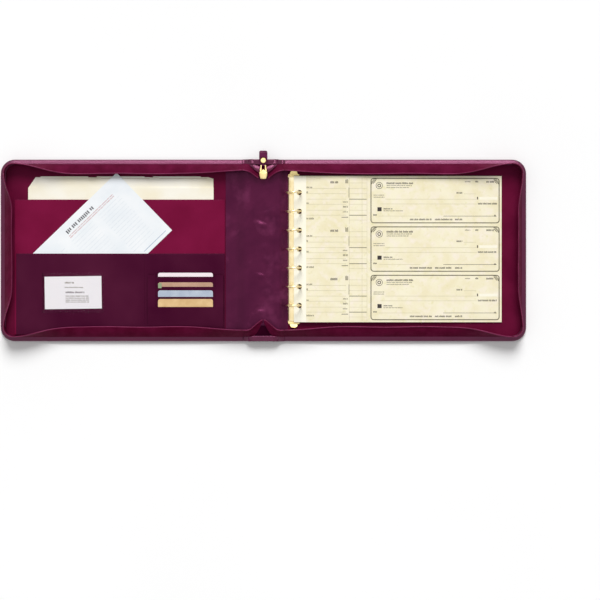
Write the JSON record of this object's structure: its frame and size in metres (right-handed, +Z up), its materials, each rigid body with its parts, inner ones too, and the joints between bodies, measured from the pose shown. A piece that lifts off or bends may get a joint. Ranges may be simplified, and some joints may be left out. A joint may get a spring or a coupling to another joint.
{
  "type": "checkbook portfolio",
  "caption": "Zip-round leather check binder, shown open, with seven brass rings of checks, card slots, file pocket, window and spine handle.",
  "frame": {"origin": "on the table under the middle of the open case with its zipper pull", "axes": "+X to the right along the open case, +Y up the page towards the zipper pull, +Z up from the table"},
  "size_m": [0.822, 0.2972, 0.0301],
  "materials": {
    "cover_leather": "pebbled burgundy leather",
    "dark_leather": "darker plum leather",
    "lining": "smooth wine-red lining",
    "board": "grey stiffening board",
    "tape": "woven zipper tape",
    "brass": "polished pale brass",
    "check_paper": "cream check paper",
    "folder_paper": "cream folder card",
    "form_paper": "white form paper",
    "vinyl": "clear vinyl",
    "white_card": "white card",
    "orange_card": "orange card",
    "blue_card": "pale blue card",
    "gold_card": "gold card",
    "business_paper": "white business card"
  },
  "bodies": {
    "back_cover": {"back_leather": "cover_leather", "back_board": "board", "back_lining": "lining", "back_rim": "cover_leather", "back_crease_strip": "dark_leather", "back_corner_tapes": "tape", "ring_base": "brass", "ring_cover": "brass", "ring_posts": "brass"},
    "spine": {"spine_leather": "cover_leather", "spine_board": "board", "spine_lining": "dark_leather", "spine_rims": "cover_leather", "handle_tabs": "cover_leather", "handle_strap_ends": "dark_leather"},
    "front_cover": {"front_leather": "cover_leather", "front_board": "board", "front_lining": "lining", "front_rim": "cover_leather", "front_crease_strip": "dark_leather", "front_corner_tapes": "tape", "file_pocket": "lining", "front_pocket": "dark_leather", "card_panel": "dark_leather", "card_strips": "dark_leather", "id_window": "vinyl", "folder_left_tab": "folder_paper", "folder_middle_tab": "folder_paper", "folder_right_tab": "folder_paper", "order_form": "form_paper"},
    "back_top_edge": {"back_top_tape": "tape"},
    "back_bottom_edge": {"back_bottom_tape": "tape"},
    "back_side_edge": {"back_side_tape": "tape"},
    "front_top_edge": {"front_top_tape": "tape"},
    "front_bottom_edge": {"front_bottom_tape": "tape"},
    "front_side_edge": {"front_side_tape": "tape"},
    "top_zipper_end": {"top_end_tape": "tape", "slider_body": "brass"},
    "bottom_zipper_end": {"bottom_end_tape": "tape", "bottom_stop": "brass"},
    "zipper_link": {"pull_link": "brass"},
    "zipper_pull": {"pull_tab": "dark_leather", "pull_rivet": "brass"},
    "left_ring_half": {"left_rings": "brass", "left_blade": "brass"},
    "right_ring_half": {"right_rings": "brass", "right_blade": "brass"},
    "top_ring_trigger": {"top_trigger": "brass"},
    "bottom_ring_trigger": {"bottom_trigger": "brass"},
    "check_pages": {"top_check_sheet": "check_paper", "check_stack": "check_paper"},
    "carry_grip": {"handle_grip": "cover_leather"},
    "first_card": {"card_1": "white_card"},
    "second_card": {"card_2": "orange_card"},
    "third_card": {"card_3": "blue_card"},
    "fourth_card": {"card_4": "gold_card"},
    "business_card": {"id_card": "business_paper"}
  },
  "joints": [
    {"name": "spine_fold", "type": "hinge", "parent": "back_cover", "child": "spine", "pos_m": [0.0208, -0.00664, 0.0042], "axis": [0, 1, 0], "range_deg": [0, 90]},
    {"name": "front_fold", "type": "hinge", "parent": "spine", "child": "front_cover", "pos_m": [-0.0208, -0.00664, 0.0042], "axis": [0, 1, 0], "range_deg": [0, 90]},
    {"name": "back_top_gusset", "type": "hinge", "parent": "back_cover", "child": "back_top_edge", "pos_m": [0.2, 0.12814, 0.0077], "axis": [-1, 0, 0], "range_deg": [0, 60]},
    {"name": "back_bottom_gusset", "type": "hinge", "parent": "back_cover", "child": "back_bottom_edge", "pos_m": [0.2, -0.14142, 0.0077], "axis": [1, 0, 0], "range_deg": [0, 60]},
    {"name": "back_side_gusset", "type": "hinge", "parent": "back_cover", "child": "back_side_edge", "pos_m": [0.40378, -0.00664, 0.0077], "axis": [0, 1, 0], "range_deg": [0, 22]},
    {"name": "front_top_gusset", "type": "hinge", "parent": "front_cover", "child": "front_top_edge", "pos_m": [-0.2, 0.12814, 0.0077], "axis": [-1, 0, 0], "range_deg": [0, 60]},
    {"name": "front_bottom_gusset", "type": "hinge", "parent": "front_cover", "child": "front_bottom_edge", "pos_m": [-0.2, -0.14142, 0.0077], "axis": [1, 0, 0], "range_deg": [0, 60]},
    {"name": "front_side_gusset", "type": "hinge", "parent": "front_cover", "child": "front_side_edge", "pos_m": [-0.40378, -0.00664, 0.0077], "axis": [0, -1, 0], "range_deg": [0, 45]},
    {"name": "top_end_unfold", "type": "hinge", "parent": "spine", "child": "top_zipper_end", "pos_m": [0, 0.12638, 0.0115], "axis": [-1, 0, 0], "range_deg": [0, 70]},
    {"name": "bottom_end_unfold", "type": "hinge", "parent": "spine", "child": "bottom_zipper_end", "pos_m": [0, -0.13966, 0.0115], "axis": [1, 0, 0], "range_deg": [0, 70]},
    {"name": "link_level", "type": "hinge", "parent": "top_zipper_end", "child": "zipper_link", "pos_m": [0, 0.11588, 0.01804], "axis": [1, 0, 0], "range_deg": [0, 70]},
    {"name": "pull_swing", "type": "hinge", "parent": "zipper_link", "child": "zipper_pull", "pos_m": [0, 0.12552, 0.01702], "axis": [1, 0, 0], "range_deg": [0, 110]},
    {"name": "ring_open", "type": "hinge", "parent": "back_cover", "child": "left_ring_half", "pos_m": [0.0399, -0.00464, 0.0058], "axis": [0, -1, 0], "range_deg": [0, 14], "stiffness_Nm_per_rad": 0.5, "springref_deg": -2.86},
    {"name": "right_ring_open", "type": "hinge", "parent": "back_cover", "child": "right_ring_half", "pos_m": [0.0551, -0.00464, 0.0058], "axis": [0, 1, 0], "range_deg": [0, 14]},
    {"name": "top_trigger_press", "type": "hinge", "parent": "back_cover", "child": "top_ring_trigger", "pos_m": [0.0475, 0.11036, 0.0065], "axis": [-1, 0, 0], "range_deg": [0, 20]},
    {"name": "bottom_trigger_press", "type": "hinge", "parent": "back_cover", "child": "bottom_ring_trigger", "pos_m": [0.0475, -0.11964, 0.0065], "axis": [1, 0, 0], "range_deg": [0, 20]},
    {"name": "page_turn", "type": "hinge", "parent": "back_cover", "child": "check_pages", "pos_m": [0.0475, -0.00464, 0.0176], "axis": [0, 1, 0], "range_deg": [-165, 0]},
    {"name": "grip_lift", "type": "slide", "parent": "spine", "child": "carry_grip", "axis": [0, 0, -1], "range_m": [0, 0.018]},
    {"name": "first_card_slide", "type": "slide", "parent": "front_cover", "child": "first_card", "axis": [0, -0.9945, -0.1045], "range_m": [-0.05, 0]},
    {"name": "second_card_slide", "type": "slide", "parent": "front_cover", "child": "second_card", "axis": [0, -0.9945, -0.1045], "range_m": [-0.05, 0]},
    {"name": "third_card_slide", "type": "slide", "parent": "front_cover", "child": "third_card", "axis": [0, -0.9945, -0.1045], "range_m": [-0.05, 0]},
    {"name": "fourth_card_slide", "type": "slide", "parent": "front_cover", "child": "fourth_card", "axis": [0, -0.9945, -0.1045], "range_m": [-0.05, 0]},
    {"name": "business_card_slide", "type": "slide", "parent": "front_cover", "child": "business_card", "axis": [0, -1, 0], "range_m": [-0.055, 0]}
  ],
  "couplings": [
    {"joint": "back_top_gusset", "follows": "spine_fold", "ratio": 0.66667},
    {"joint": "back_bottom_gusset", "follows": "spine_fold", "ratio": 0.66667},
    {"joint": "back_side_gusset", "follows": "spine_fold", "ratio": 0.24444},
    {"joint": "top_end_unfold", "follows": "spine_fold", "ratio": 0.77778},
    {"joint": "link_level", "follows": "spine_fold", "ratio": 0.77778},
    {"joint": "bottom_end_unfold", "follows": "spine_fold", "ratio": 0.77778},
    {"joint": "front_top_gusset", "follows": "front_fold", "ratio": 0.66667},
    {"joint": "front_bottom_gusset", "follows": "front_fold", "ratio": 0.66667},
    {"joint": "front_side_gusset", "follows": "front_fold", "ratio": 0.5},
    {"joint": "right_ring_open", "follows": "ring_open", "ratio": 1},
    {"joint": "top_trigger_press", "follows": "ring_open", "ratio": 1.42},
    {"joint": "bottom_trigger_press", "follows": "ring_open", "ratio": 1.42}
  ]
}
